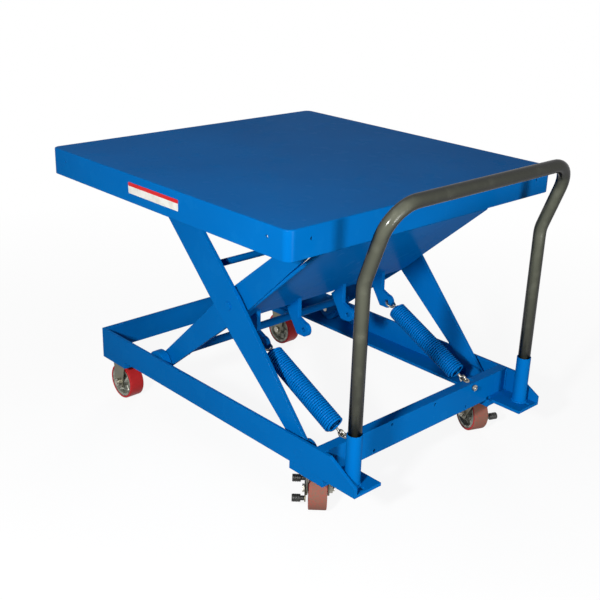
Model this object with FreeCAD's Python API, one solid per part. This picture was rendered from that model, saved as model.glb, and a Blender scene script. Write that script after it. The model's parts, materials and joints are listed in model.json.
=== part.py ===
import FreeCAD, Part
import math
import os

from FreeCAD import Vector

# Spring-assisted scissor lift table on casters, shown with its deck raised.
# Lengths are in millimetres. X runs from the roller end to the handle end, Y is across, Z is up
# from the ground. "left" is the low Y side and "right" is the high Y side.

# Casters and wheels.
wheel_radius = 50.8
wheel_width = 44.0
tread_thickness = 6.0
tread_edge_radius = 4.0
hub_rim_thickness = 7.0
hub_web_thickness = 12.0
hub_boss_radius = 14.0
hub_side_gap = 0.5
axle_radius = 6.0
axle_head_radius = 10.0
axle_head_thickness = 5.0
axle_nut_radius = 10.5
axle_nut_thickness = 8.0
axle_thread_overrun = 4.0
fork_leg_thickness = 4.0
fork_leg_gap = 2.0
fork_top_thickness = 4.0
fork_eye_radius = 17.0
fork_crown_width = 58.0
wheel_to_crown_gap = 8.9
raceway_radius = 33.0
raceway_height = 9.0
swivel_gap = 0.5
swivel_trail = 30.0
left_swivel_angle = 136.5
right_swivel_angle = 158.6
kingpin_radius = 6.0
kingpin_nut_radius = 10.0
kingpin_nut_thickness = 7.0
caster_plate_length = 96.0
caster_plate_width = 72.0
caster_plate_thickness = 5.0
caster_plate_corner = 6.0
caster_bolt_radius = 4.0
caster_bolt_head_radius = 7.0
caster_bolt_head_thickness = 5.0
caster_bolt_spacing_x = 76.0
caster_bolt_spacing_y = 52.0

# Lock pedal on each swivel fork: a rocker plate on the axle with two round toe pads.
pedal_plate_thickness = 3.0
pedal_plate_half_width = 9.0
pedal_half_span = 29.5
pedal_tilt = 20.0
pedal_pad_radius = 9.5
pedal_pad_length = 30.0

# Trays that carry the casters.
tray_length = 111.0
tray_width = 85.0
tray_depth = 19.0
tray_top = 6.0
tray_wall = 5.0

# Base frame.
base_half_length = 452.0
base_half_width = 347.0
rail_depth = 70.0
rail_thickness = 8.0
rail_flange_width = 75.0
nose_length = 104.0
nose_flat = 23.0
nose_drop = 46.0
foot_plate_start = 6.0
foot_plate_taper = 12.0
front_tray_overhang = 4.0
foot_hole_radius = 5.5
foot_hole_edge = 10.0
foot_hole_offset = 313.0
rear_member_thickness = 8.0
front_member_thickness = 6.0
front_member_flange = 27.0
front_member_hole_radius = 4.0
front_member_hole_offset = 174.0
front_member_hole_height = 10.0

# Push handle.
handle_tube_radius = 15.875
handle_tube_wall = 2.1
handle_setback = 65.0
handle_offset = 315.0
handle_bend_height = 412.0
handle_bar_height = 591.0
handle_lean = 19.6
handle_bend_radius = 80.0
handle_corner_radius = 75.0
socket_wall = 2.0
socket_fit = 0.2
socket_height = 64.0

# Scissor legs.
leg_half_length = 391.0
raised_angle = 44.2
leg_thickness = 10.0
leg_to_rail_gap = 13.0
leg_gap = 8.0
outer_eye_radius = 20.0
outer_leg_half_width = 47.0
outer_leg_taper_length = 122.0
outer_leg_chamfer_length = 42.0
inner_eye_radius = 21.0
inner_leg_half_width = 36.5
outer_rod_radius = 9.0
outer_rod_station = 503.0
inner_rod_radius = 11.0
inner_rod_station = 108.0
inner_rod_drop = 11.0
pivot_setback = 81.0
pivot_depth = 40.0
pivot_pin_radius = 10.0
pivot_collar_radius = 14.0
running_fit = 0.05
side_play = 0.3
ear_thickness = 8.0
ear_gap = 4.0
ear_radius = 24.0
ear_step = 28.0
centre_bolt_radius = 9.0
centre_spacer_radius = 16.0
centre_head_radius = 11.0
centre_head_thickness = 3.0
centre_nut_radius = 15.0
centre_nut_thickness = 10.0

# Rollers.
lower_roller_radius = 35.7
lower_roller_gap = 0.3
lower_roller_width = 24.0
lower_roller_inset = 2.0
upper_roller_radius = 22.0
upper_roller_gap = 1.3
upper_roller_width = 22.0
upper_roller_inset = 2.0
roller_edge_radius = 1.5
roller_axle_radius = 8.0
roller_head_radius = 12.0
roller_head_thickness = 2.5

# Torque plate, spring lugs and springs.
torque_plate_start = 360.0
torque_plate_end = 730.0
torque_plate_thickness = 6.0
torque_plate_drop = 35.0
lug_thickness = 12.0
lug_eye_radius = 18.0
lug_hole_radius = 6.0
lug_rear_station = 342.0
lug_front_station = 398.0
lug_heel = 24.0
lug_instep = 21.0
lug_instep_rise = 27.0
lug_eye_station = 362.1
lug_eye_drop = 109.0
spring_offsets = {"left": -252.0, "right": 198.0}
spare_lug_offsets = (-115.0, 45.0)
spring_wire = 6.0
spring_outer_radius = 25.0
spring_split_gap = 0.3
lug_loop_radius = 12.0
lug_loop_neck = 4.0
eye_loop_radius = 8.0
eye_loop_neck = 7.0
eyebolt_radius = 3.5
eyebolt_loop_radius = 8.0
spring_end_setback = 34.0
spring_end_rise = -2.0
eyebolt_slope = 15.0
eyebolt_hole_gap = 0.5
eyebolt_notch_gap = 1.5
eyebolt_nut_radius = 8.0
eyebolt_nut_thickness = 7.0
eyebolt_thread_overrun = 4.0

# Deck.
deck_size = 914.4
deck_plate = 5.0
deck_skirt_depth = 67.2
deck_skirt_thickness = 4.0
deck_corner_radius = 20.0
deck_edge_radius = 3.5
deck_hinge_setback = 56.2
deck_hole_radius = 3.5
deck_hole_depth = 26.5
deck_hole_inset = 64.0
channel_thickness = 4.0
channel_side_gap = 1.5
channel_roller_gap = 1.7
channel_length = 330.0
channel_roller_lead = 60.0
bracket_thickness = 8.0
bracket_gap = 3.0
bracket_half_width = 30.0
bracket_eye_radius = 20.0
bracket_plate = 6.0
deck_pin_radius = 9.0
deck_pin_head_radius = 13.0
deck_pin_head_thickness = 4.0

# Heights, built up from the ground.
wheel_axis_z = wheel_radius
crown_bottom_z = 2 * wheel_radius + wheel_to_crown_gap
raceway_bottom_z = crown_bottom_z + fork_top_thickness + swivel_gap
caster_plate_bottom_z = raceway_bottom_z + raceway_height
caster_plate_top_z = caster_plate_bottom_z + caster_plate_thickness
rail_bottom_z = caster_plate_top_z + tray_top
tray_bottom_z = rail_bottom_z - tray_depth
flange_top_z = rail_bottom_z + rail_thickness
rail_top_z = rail_bottom_z + rail_depth

# Places across the table.
rail_inner_face = base_half_width - rail_thickness
rail_flange_edge = base_half_width - rail_flange_width
tray_inner_edge = base_half_width - tray_width
outer_leg_outer_face = rail_inner_face - leg_to_rail_gap
outer_leg_inner_face = outer_leg_outer_face - leg_thickness
inner_leg_outer_face = outer_leg_inner_face - leg_gap
inner_leg_inner_face = inner_leg_outer_face - leg_thickness
ear_outer_face = outer_leg_inner_face - ear_gap
ear_inner_face = ear_outer_face - ear_thickness
caster_offset = base_half_width - tray_width / 2

# Scissor geometry with the deck raised.
leg_length = 2 * leg_half_length
base_pivot = Vector(base_half_length - pivot_setback, 0, rail_top_z - pivot_depth)
outer_along = Vector(-math.cos(math.radians(raised_angle)), 0, math.sin(math.radians(raised_angle)))
outer_up = Vector(outer_along.z, 0, -outer_along.x)
centre_pivot = base_pivot + outer_along * leg_half_length
upper_roller_axis = base_pivot + outer_along * leg_length
lower_roller_z = flange_top_z + lower_roller_gap + lower_roller_radius
inner_rise = (centre_pivot.z - lower_roller_z) / leg_half_length
inner_along = Vector(math.sqrt(1 - inner_rise ** 2), 0, inner_rise)
inner_up = Vector(-inner_along.z, 0, inner_along.x)
lower_roller_axis = centre_pivot - inner_along * leg_half_length
deck_pivot = centre_pivot + inner_along * leg_half_length
deck_under_z = upper_roller_axis.z + upper_roller_radius + upper_roller_gap
deck_top_z = deck_under_z + deck_plate
deck_skirt_z = deck_top_z - deck_skirt_depth
deck_front_x = deck_pivot.x + deck_hinge_setback
deck_rear_x = deck_front_x - deck_size

# Springs run from a lug on the torque plate down to an eyebolt in the front cross member.
spring_low = Vector(base_half_length - spring_end_setback, 0, rail_top_z + spring_end_rise)
lug_offsets = (*spring_offsets.values(), *spare_lug_offsets)
spring_high = lower_roller_axis + inner_along * lug_eye_station - inner_up * lug_eye_drop
spring_run = spring_low - spring_high
spring_length = spring_run.Length
spring_down = spring_run * (1 / spring_length)
eyebolt_along = Vector(math.cos(math.radians(eyebolt_slope)), 0, -math.sin(math.radians(eyebolt_slope)))

# Handle places, and the shift that puts the origin under the middle of the whole table.
handle_x = base_half_length + handle_setback
handle_bend_z = rail_top_z + handle_bend_height
handle_bar_z = rail_top_z + handle_bar_height
handle_bar_x = handle_x + (handle_bar_z - handle_bend_z) * math.tan(math.radians(handle_lean))
middle_x = (deck_rear_x + handle_bar_x + handle_tube_radius) / 2

across = Vector(0, 1, 0)
upward = Vector(0, 0, 1)
forward = Vector(1, 0, 0)
sides = {"left": -1, "right": 1}


def at_y(point, y):
    return Vector(point.x, y, point.z)


def prism(corners, axis, length):
    wire = Part.makePolygon(list(corners) + [corners[0]])
    return Part.Face(wire).extrude(axis * length)


def side_plate(corners, y_from, y_to):
    low = min(y_from, y_to)
    return prism([at_y(corner, low) for corner in corners], across, abs(y_to - y_from))


def box(x_from, x_to, y_from, y_to, z_from, z_to):
    y_low = min(y_from, y_to)
    corner = Vector(x_from, y_low, z_from)
    return Part.makeBox(x_to - x_from, abs(y_to - y_from), z_to - z_from, corner)


def cross_pin(point, radius, y_from, y_to):
    return Part.makeCylinder(radius, abs(y_to - y_from), at_y(point, min(y_from, y_to)), across)


def hexagon(centre, axis, radius, length):
    axis = Vector(axis).normalize()
    side = axis.cross(upward) if abs(axis.z) < 0.9 else forward
    side = side.normalize()
    other = axis.cross(side)
    turns = [math.radians(60 * step) for step in range(6)]
    corners = [centre + side * (radius * math.cos(t)) + other * (radius * math.sin(t)) for t in turns]
    return prism(corners, axis, length)


def ring(centre, axis, loop_radius, wire_radius):
    return Part.makeTorus(loop_radius, wire_radius, centre, axis)


def fused(first, *others):
    result = first.fuse(list(others)) if others else first
    return result.removeSplitter()


def rounded_path(points, radii):
    # Straight runs joined by arcs that touch both runs; each inner corner has its own radius.
    edges = []
    start = points[0]
    for index, radius in enumerate(radii):
        corner = points[index + 1]
        back = (points[index] - corner).normalize()
        ahead = (points[index + 2] - corner).normalize()
        half_angle = back.getAngle(ahead) / 2
        reach = radius / math.tan(half_angle)
        bisector = (back + ahead).normalize()
        middle = corner + bisector * (radius / math.sin(half_angle) - radius)
        entry = corner + back * reach
        leave = corner + ahead * reach
        edges.append(Part.LineSegment(start, entry).toShape())
        edges.append(Part.Arc(entry, middle, leave).toShape())
        start = leave
    edges.append(Part.LineSegment(start, points[-1]).toShape())
    return Part.Wire(edges)


def tapered_sides(start, end, start_radius, end_radius):
    # The four points where straight sides touch the circles at the two ends of a tapered bar.
    lean = math.asin((end_radius - start_radius) / (end - start))
    touching = []
    for station, radius in ((start, start_radius), (end, end_radius)):
        touching.append((station - radius * math.sin(lean), radius * math.cos(lean)))
    low = [(station, -offset) for station, offset in touching]
    return low + touching[::-1]


def leg_shape(origin, along, up, outline_parts, eyes, y_from, y_to):
    solids = []
    for outline in outline_parts:
        solids.append(side_plate([origin + along * s + up * n for s, n in outline], y_from, y_to))
    for station, radius in eyes:
        solids.append(cross_pin(origin + along * station, radius, y_from, y_to))
    return fused(solids[0], *solids[1:])


def save(name, solids):
    shapes = solids if isinstance(solids, list) else [solids]
    placed = []
    for shape in shapes:
        for solid in shape.Solids:
            placed.append(solid.translated(Vector(-middle_x, 0, 0)))
    result = placed[0] if len(placed) == 1 else Part.makeCompound(placed)
    result.exportStep("parts/" + name + ".step")


# Base frame.

def rail(sign):
    nose_x = base_half_length + nose_length
    web_corners = [
        Vector(-base_half_length, 0, rail_bottom_z),
        Vector(nose_x, 0, rail_bottom_z),
        Vector(nose_x, 0, rail_top_z - nose_drop),
        Vector(base_half_length + nose_flat, 0, rail_top_z),
        Vector(-base_half_length, 0, rail_top_z),
    ]
    web = side_plate(web_corners, sign * rail_inner_face, sign * base_half_width)
    taper_x = base_half_length + foot_plate_start
    outline = [
        (-base_half_length, rail_flange_edge),
        (taper_x, rail_flange_edge),
        (taper_x + foot_plate_taper, tray_inner_edge),
        (nose_x, tray_inner_edge),
        (nose_x, base_half_width),
        (-base_half_length, base_half_width),
    ]
    flange_corners = [Vector(x, sign * y, rail_bottom_z) for x, y in outline]
    flange = prism(flange_corners, upward, rail_thickness)
    hole_start = Vector(nose_x - foot_hole_edge, sign * foot_hole_offset, rail_bottom_z)
    hole = Part.makeCylinder(foot_hole_radius, rail_thickness, hole_start)
    pin_hole = cross_pin(base_pivot, pivot_pin_radius, sign * rail_inner_face, sign * base_half_width)
    return fused(web, flange).cut(hole).cut(pin_hole)


def notched_member(x_from, x_to, z_top):
    # A plate across the frame that stands on the rail flanges and drops to their underside between them.
    high = box(x_from, x_to, -rail_inner_face, rail_inner_face, flange_top_z, z_top)
    low = box(x_from, x_to, -tray_inner_edge, tray_inner_edge, rail_bottom_z, flange_top_z)
    return fused(high, low)


def eyebolt_shank(y, radius, end_gap):
    start = at_y(spring_low, y) + eyebolt_along * (2 * eyebolt_loop_radius)
    web_front = (base_half_length - start.x) / eyebolt_along.x
    reach = web_front + end_gap
    return Part.makeCylinder(radius, reach, start, eyebolt_along)


def front_member():
    # Every lug has a hole in the web for an eyebolt; the flange is notched where one is fitted.
    back_x = base_half_length - front_member_flange
    hole_radius = eyebolt_radius + eyebolt_hole_gap
    web = notched_member(base_half_length - front_member_thickness, base_half_length, rail_top_z)
    for y in lug_offsets:
        web = web.cut(eyebolt_shank(y, hole_radius, front_member_flange))
    top = box(back_x, base_half_length, -rail_inner_face, rail_inner_face,
              rail_top_z - front_member_thickness, rail_top_z)
    notch_half = eyebolt_loop_radius + eyebolt_radius + eyebolt_notch_gap
    notch_front = spring_low.x + 2 * eyebolt_loop_radius + 2 * eyebolt_radius
    for y in spring_offsets.values():
        top = top.cut(eyebolt_shank(y, hole_radius, front_member_flange))
        top = top.cut(box(back_x, notch_front, y - notch_half, y + notch_half,
                          rail_top_z - front_member_thickness, rail_top_z))
    bottom = box(back_x, base_half_length, -tray_inner_edge, tray_inner_edge,
                 rail_bottom_z, rail_bottom_z + front_member_thickness)
    member = fused(web, top, bottom)
    hole_z = rail_bottom_z + front_member_hole_height
    for sign in sides.values():
        start = Vector(back_x, sign * front_member_hole_offset, hole_z)
        member = member.cut(Part.makeCylinder(front_member_hole_radius, front_member_flange, start, forward))
    return member


def caster_tray(x_from, sign):
    x_to = x_from + tray_length
    outer_edge = sign * base_half_width
    inner_edge = sign * tray_inner_edge
    shell = box(x_from, x_to, inner_edge, outer_edge, tray_bottom_z, rail_bottom_z)
    inside = box(x_from + tray_wall, x_to - tray_wall, inner_edge + sign * tray_wall,
                 outer_edge - sign * tray_wall, tray_bottom_z, rail_bottom_z - tray_top)
    return shell.cut(inside)


rear_caster_x = -base_half_length + tray_length / 2
front_caster_x = base_half_length + front_tray_overhang - tray_length / 2


def socket(sign):
    centre = Vector(handle_x, sign * handle_offset, flange_top_z)
    height = rail_top_z + socket_height - flange_top_z
    inner_radius = handle_tube_radius + socket_fit
    outer = Part.makeCylinder(inner_radius + socket_wall, height, centre)
    return outer.cut(Part.makeCylinder(inner_radius, height, centre))


def handle():
    half = [
        Vector(handle_x, -handle_offset, flange_top_z),
        Vector(handle_x, -handle_offset, handle_bend_z),
        Vector(handle_bar_x, -handle_offset, handle_bar_z),
    ]
    points = half + [Vector(point.x, handle_offset, point.z) for point in half[::-1]]
    path = rounded_path(points, [handle_bend_radius, handle_corner_radius,
                                 handle_corner_radius, handle_bend_radius])
    outer_circle = Part.Wire(Part.makeCircle(handle_tube_radius, half[0]))
    inner_circle = Part.Wire(Part.makeCircle(handle_tube_radius - handle_tube_wall, half[0]))
    outer = path.makePipeShell([outer_circle], True, False)
    inner = path.makePipeShell([inner_circle], True, False)
    return Part.Solid(outer).cut(Part.Solid(inner))


def base_ear(sign):
    front_x = base_half_length - front_member_thickness
    shoulder_z = flange_top_z + ear_step
    low_corners = [
        Vector(base_pivot.x - ear_radius, 0, flange_top_z),
        Vector(front_x, 0, flange_top_z),
        Vector(front_x, 0, shoulder_z),
        Vector(base_pivot.x + ear_radius, 0, shoulder_z),
        Vector(base_pivot.x + ear_radius, 0, base_pivot.z),
        Vector(base_pivot.x - ear_radius, 0, base_pivot.z),
    ]
    y_from = sign * ear_inner_face
    y_to = sign * ear_outer_face
    plate = side_plate(low_corners, y_from, y_to)
    crown = cross_pin(base_pivot, ear_radius, y_from, y_to)
    below = box(base_pivot.x - ear_radius, base_pivot.x + ear_radius, y_from, y_to,
                rail_bottom_z, flange_top_z)
    pin_hole = cross_pin(base_pivot, pivot_pin_radius, y_from, y_to)
    return fused(plate, crown.cut(below)).cut(pin_hole)


def base_pivot_pin(sign):
    pin = cross_pin(base_pivot, pivot_pin_radius, sign * ear_inner_face, sign * base_half_width)
    collar = cross_pin(base_pivot, pivot_collar_radius,
                       sign * (outer_leg_outer_face + side_play), sign * rail_inner_face)
    return fused(pin, collar)


def eyebolt(y):
    loop_centre = at_y(spring_low, y) + eyebolt_along * eyebolt_loop_radius
    loop_normal = eyebolt_along.cross(across)
    loop = ring(loop_centre, loop_normal, eyebolt_loop_radius, eyebolt_radius)
    shank = eyebolt_shank(y, eyebolt_radius, eyebolt_nut_thickness + eyebolt_thread_overrun)
    start = at_y(spring_low, y)
    reach = (base_half_length - start.x) / eyebolt_along.x
    lean_gap = -eyebolt_nut_radius * eyebolt_along.z / eyebolt_along.x
    nut_start = start + eyebolt_along * (reach + lean_gap)
    nut = hexagon(nut_start, eyebolt_along, eyebolt_nut_radius, eyebolt_nut_thickness)
    nut = nut.cut(eyebolt_shank(y, eyebolt_radius, 4 * eyebolt_nut_thickness))
    return [fused(loop, shank), nut]


# Casters. Each is built round its own plate centre with the wheel trailing along +X, then placed.

fork_half_gap = wheel_width / 2 + fork_leg_gap
fork_half_width = fork_half_gap + fork_leg_thickness


def wheel_parts(axle_x):
    centre = Vector(axle_x, 0, wheel_axis_z)
    half = wheel_width / 2
    tread_inner = wheel_radius - tread_thickness
    rim_inner = tread_inner - hub_rim_thickness
    tread = cross_pin(centre, wheel_radius, -half, half)
    tread = tread.makeFillet(tread_edge_radius, [e for e in tread.Edges if e.Closed and e.Length > 1])
    tread = tread.cut(cross_pin(centre, tread_inner, -half, half))
    boss_half = fork_half_gap - hub_side_gap
    rim = cross_pin(centre, tread_inner, -half, half).cut(cross_pin(centre, rim_inner, -half, half))
    web = cross_pin(centre, rim_inner, -hub_web_thickness / 2, hub_web_thickness / 2)
    boss = cross_pin(centre, hub_boss_radius, -boss_half, boss_half)
    bore = cross_pin(centre, axle_radius + running_fit, -boss_half, boss_half)
    return fused(rim, web, boss).cut(bore), tread


def fork_legs(axle_x, top_z, top_from, top_to):
    # Two plates that narrow from the crown down to a round eye at the axle.
    eye = Vector(axle_x, 0, wheel_axis_z)
    corners = [
        Vector(top_from, 0, top_z),
        Vector(eye.x - fork_eye_radius, 0, eye.z),
        Vector(eye.x + fork_eye_radius, 0, eye.z),
        Vector(top_to, 0, top_z),
    ]
    legs = []
    for sign in sides.values():
        y_from = sign * fork_half_gap
        y_to = sign * fork_half_width
        plate = side_plate(corners, y_from, y_to)
        legs.append(fused(plate, cross_pin(eye, fork_eye_radius, y_from, y_to)))
    hole = cross_pin(eye, axle_radius, -fork_half_width, fork_half_width)
    return [leg.cut(hole) for leg in legs]


def axle(axle_x, head_y):
    centre = Vector(axle_x, 0, wheel_axis_z)
    nut_end = fork_half_width + axle_nut_thickness
    shank = cross_pin(centre, axle_radius, head_y, nut_end + axle_thread_overrun)
    head = hexagon(at_y(centre, head_y), across * -1, axle_head_radius, axle_head_thickness)
    nut = hexagon(at_y(centre, fork_half_width), across, axle_nut_radius, axle_nut_thickness)
    return fused(shank, head, nut)


def caster_plate():
    plate = box(-caster_plate_length / 2, caster_plate_length / 2, -caster_plate_width / 2,
                caster_plate_width / 2, caster_plate_bottom_z, caster_plate_top_z)
    upright = [e for e in plate.Edges if abs(e.tangentAt(e.FirstParameter).z) > 0.9]
    plate = plate.makeFillet(caster_plate_corner, upright)
    for place in bolt_places():
        hole = Part.makeCylinder(caster_bolt_radius, caster_plate_thickness,
                                 place + upward * caster_plate_bottom_z)
        plate = plate.cut(hole)
    return plate


def bolt_places():
    places = []
    for x in (-caster_bolt_spacing_x / 2, caster_bolt_spacing_x / 2):
        for y in (-caster_bolt_spacing_y / 2, caster_bolt_spacing_y / 2):
            places.append(Vector(x, y, 0))
    return places


def caster_bolts():
    bolts = []
    for place in bolt_places():
        head_z = caster_plate_bottom_z - caster_bolt_head_thickness
        head = hexagon(place + upward * head_z, upward, caster_bolt_head_radius,
                       caster_bolt_head_thickness)
        shank = Part.makeCylinder(caster_bolt_radius, caster_plate_thickness,
                                  place + upward * caster_plate_bottom_z)
        bolts.append(fused(head, shank))
    return bolts


def swivel_top():
    raceway = Part.makeCylinder(raceway_radius, raceway_height, Vector(0, 0, raceway_bottom_z))
    bore_height = caster_plate_top_z - raceway_bottom_z
    bore = Part.makeCylinder(kingpin_radius, bore_height, Vector(0, 0, raceway_bottom_z))
    return fused(caster_plate(), raceway).cut(bore)


def kingpin():
    nut_z = crown_bottom_z - side_play - kingpin_nut_thickness
    pin = Part.makeCylinder(kingpin_radius, caster_plate_top_z - nut_z, Vector(0, 0, nut_z))
    nut = hexagon(Vector(0, 0, nut_z), upward, kingpin_nut_radius, kingpin_nut_thickness)
    return fused(pin, nut)


def swivel_fork():
    crown_z = crown_bottom_z + fork_top_thickness
    crown = Part.makeCylinder(raceway_radius, fork_top_thickness, Vector(0, 0, crown_bottom_z))
    sill = box(-fork_crown_width / 2, fork_crown_width / 2, -fork_half_width, fork_half_width,
               crown_bottom_z, crown_z)
    legs = fork_legs(swivel_trail, crown_z, -fork_crown_width / 2, fork_crown_width / 2)
    bore = Part.makeCylinder(kingpin_radius + running_fit, fork_top_thickness,
                             Vector(0, 0, crown_bottom_z))
    fork = fused(crown, sill, *legs).cut(bore)
    return fork


def rigid_fork():
    half = fork_crown_width / 2
    legs = fork_legs(0, caster_plate_bottom_z, -half, half)
    return fused(caster_plate(), *legs)


# Lock pedal, on the axle between the -Y side of the swivel fork and the axle's head.

pedal_pivot = Vector(swivel_trail, 0, wheel_axis_z)
pedal_slope = Vector(math.cos(math.radians(pedal_tilt)), 0, math.sin(math.radians(pedal_tilt)))
pedal_inner_y = -(fork_half_width + side_play)
pedal_outer_y = pedal_inner_y - pedal_plate_thickness


def pedal_ends():
    return [pedal_pivot + pedal_slope * (sign * pedal_half_span) for sign in (-1, 1)]


def pedal_plate():
    rise = Vector(-pedal_slope.z, 0, pedal_slope.x) * pedal_plate_half_width
    rear, front = pedal_ends()
    bar = side_plate([rear - rise, front - rise, front + rise, rear + rise],
                     pedal_inner_y, pedal_outer_y)
    rounds = [cross_pin(end, pedal_plate_half_width, pedal_inner_y, pedal_outer_y)
              for end in (rear, front)]
    bore = cross_pin(pedal_pivot, axle_radius + running_fit, pedal_inner_y, pedal_outer_y)
    return fused(bar, *rounds).cut(bore)


def pedal_pads():
    return [cross_pin(end, pedal_pad_radius, pedal_outer_y, pedal_outer_y - pedal_pad_length)
            for end in pedal_ends()]


def place(shape, x, sign, angle):
    # The left side is the mirror image of the right before it is turned about the plate's centre.
    turned = shape.copy() if sign > 0 else shape.mirror(Vector(0, 0, 0), across)
    turned.rotate(Vector(0, 0, 0), upward, angle)
    return turned.translated(Vector(x, sign * caster_offset, 0))


# Scissor legs.

def outer_leg(sign):
    lower = tapered_sides(0, leg_half_length, outer_eye_radius, outer_leg_half_width)
    taper_start = leg_length - outer_leg_taper_length
    chamfer_start = leg_length - outer_leg_chamfer_length
    upper = [
        (leg_half_length, -outer_leg_half_width),
        (chamfer_start, -outer_leg_half_width),
        (leg_length, -outer_eye_radius),
        (leg_length, outer_eye_radius),
        (taper_start, outer_leg_half_width),
        (leg_half_length, outer_leg_half_width),
    ]
    eyes = [(0, outer_eye_radius), (leg_half_length, outer_leg_half_width),
            (leg_length, outer_eye_radius)]
    y_from = sign * outer_leg_inner_face
    y_to = sign * outer_leg_outer_face
    leg = leg_shape(base_pivot, outer_along, outer_up, [lower, upper], eyes, y_from, y_to)
    holes = [(base_pivot, pivot_pin_radius + running_fit), (centre_pivot, centre_bolt_radius),
             (upper_roller_axis, roller_axle_radius)]
    for point, radius in holes:
        leg = leg.cut(cross_pin(point, radius, y_from, y_to))
    return leg


def inner_leg(sign):
    lower = tapered_sides(0, leg_half_length, inner_eye_radius, inner_leg_half_width)
    upper = [(leg_length - s, n) for s, n in lower[::-1]]
    eyes = [(0, inner_eye_radius), (leg_half_length, inner_leg_half_width),
            (leg_length, inner_eye_radius)]
    y_from = sign * inner_leg_inner_face
    y_to = sign * inner_leg_outer_face
    leg = leg_shape(lower_roller_axis, inner_along, inner_up, [lower, upper], eyes, y_from, y_to)
    holes = [(lower_roller_axis, roller_axle_radius), (deck_pivot, deck_pin_radius + running_fit),
             (centre_pivot, centre_bolt_radius + running_fit)]
    for point, radius in holes:
        leg = leg.cut(cross_pin(point, radius, y_from, y_to))
    return leg


def centre_bolt(sign):
    nut_face = inner_leg_inner_face - side_play
    bolt = cross_pin(centre_pivot, centre_bolt_radius, sign * nut_face, sign * outer_leg_outer_face)
    head = cross_pin(centre_pivot, centre_head_radius, sign * outer_leg_outer_face,
                     sign * (outer_leg_outer_face + centre_head_thickness))
    nut = hexagon(at_y(centre_pivot, sign * nut_face), across * -sign, centre_nut_radius,
                  centre_nut_thickness)
    spacer = cross_pin(centre_pivot, centre_spacer_radius,
                       sign * (inner_leg_outer_face + side_play), sign * outer_leg_inner_face)
    spacer = spacer.cut(cross_pin(centre_pivot, centre_bolt_radius, sign * inner_leg_outer_face,
                                  sign * outer_leg_inner_face))
    return [fused(bolt, head, nut), spacer]


def roller(point, radius, y_from, y_to):
    body = cross_pin(point, radius, y_from, y_to)
    body = body.makeFillet(roller_edge_radius, [e for e in body.Edges if e.Closed and e.Length > 1])
    return body.cut(cross_pin(point, roller_axle_radius + running_fit, y_from, y_to))


def roller_axle(point, y_root, y_roller_end, sign):
    head_start = y_roller_end + side_play
    pin = cross_pin(point, roller_axle_radius, sign * y_root, sign * head_start)
    head = cross_pin(point, roller_head_radius, sign * head_start,
                     sign * (head_start + roller_head_thickness))
    return fused(pin, head)


def torque_plate():
    corners = []
    for station, drop in ((torque_plate_start, torque_plate_drop), (torque_plate_end, torque_plate_drop),
                          (torque_plate_end, torque_plate_drop - torque_plate_thickness),
                          (torque_plate_start, torque_plate_drop - torque_plate_thickness)):
        corners.append(lower_roller_axis + inner_along * station - inner_up * drop)
    return side_plate(corners, -inner_leg_inner_face, inner_leg_inner_face)


def spring_lug(y):
    # A strap shaped like a boot: it hangs from the torque plate and its toe carries the spring.
    rear_root, front_root = [lower_roller_axis + inner_along * station - inner_up * torque_plate_drop
                             for station in (lug_rear_station, lug_front_station)]
    corners = [
        rear_root,
        spring_high - forward * lug_heel - upward * lug_eye_radius,
        spring_high - upward * lug_eye_radius,
        spring_high + upward * lug_eye_radius,
        spring_high - forward * lug_instep + upward * lug_instep_rise,
        front_root,
    ]
    y_from = y - lug_thickness / 2
    y_to = y + lug_thickness / 2
    plate = side_plate(corners, y_from, y_to)
    toe = cross_pin(spring_high, lug_eye_radius, y_from, y_to)
    return fused(plate, toe).cut(cross_pin(spring_high, lug_hole_radius, y_from, y_to))


# Springs, each in two halves so that the coil can lengthen.

coil_start = 2 * lug_loop_radius + spring_wire / 2 + lug_loop_neck
coil_end = spring_length - eye_loop_neck - eye_loop_radius - spring_wire
coil_middle = (coil_start + coil_end) / 2


def coil_half(y, start, end, cap_at_start):
    origin = at_y(spring_high, y)
    begin = origin + spring_down * start
    length = end - start
    outer = Part.makeCylinder(spring_outer_radius, length, begin, spring_down)
    inner_radius = spring_outer_radius - spring_wire
    inner_begin = begin + spring_down * spring_wire if cap_at_start else begin
    inner = Part.makeCylinder(inner_radius, length - spring_wire, inner_begin, spring_down)
    return outer.cut(inner)


def spring_upper(y):
    top = at_y(spring_high, y)
    loop_normal = spring_down.cross(across)
    loop = ring(top + spring_down * lug_loop_radius, loop_normal, lug_loop_radius, spring_wire / 2)
    neck_start = 2 * lug_loop_radius
    neck = Part.makeCylinder(spring_wire / 2, coil_start + 1 - neck_start,
                             top + spring_down * neck_start, spring_down)
    return fused(coil_half(y, coil_start, coil_middle - spring_split_gap / 2, True), loop, neck)


def spring_lower(y):
    top = at_y(spring_high, y)
    hook_contact = spring_length + eyebolt_radius + spring_wire / 2
    loop = ring(top + spring_down * (hook_contact - eye_loop_radius), across, eye_loop_radius,
                spring_wire / 2)
    neck_end = hook_contact - 2 * eye_loop_radius
    neck = Part.makeCylinder(spring_wire / 2, neck_end - coil_end + 1,
                             top + spring_down * (coil_end - 1), spring_down)
    return fused(coil_half(y, coil_middle + spring_split_gap / 2, coil_end, False), loop, neck)


# Deck.

def rounded_block(x_from, x_to, half_width, z_from, z_to, corner_radius):
    block = box(x_from, x_to, -half_width, half_width, z_from, z_to)
    upright = [e for e in block.Edges if abs(e.tangentAt(e.FirstParameter).z) > 0.9]
    return block.makeFillet(corner_radius, upright)


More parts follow.
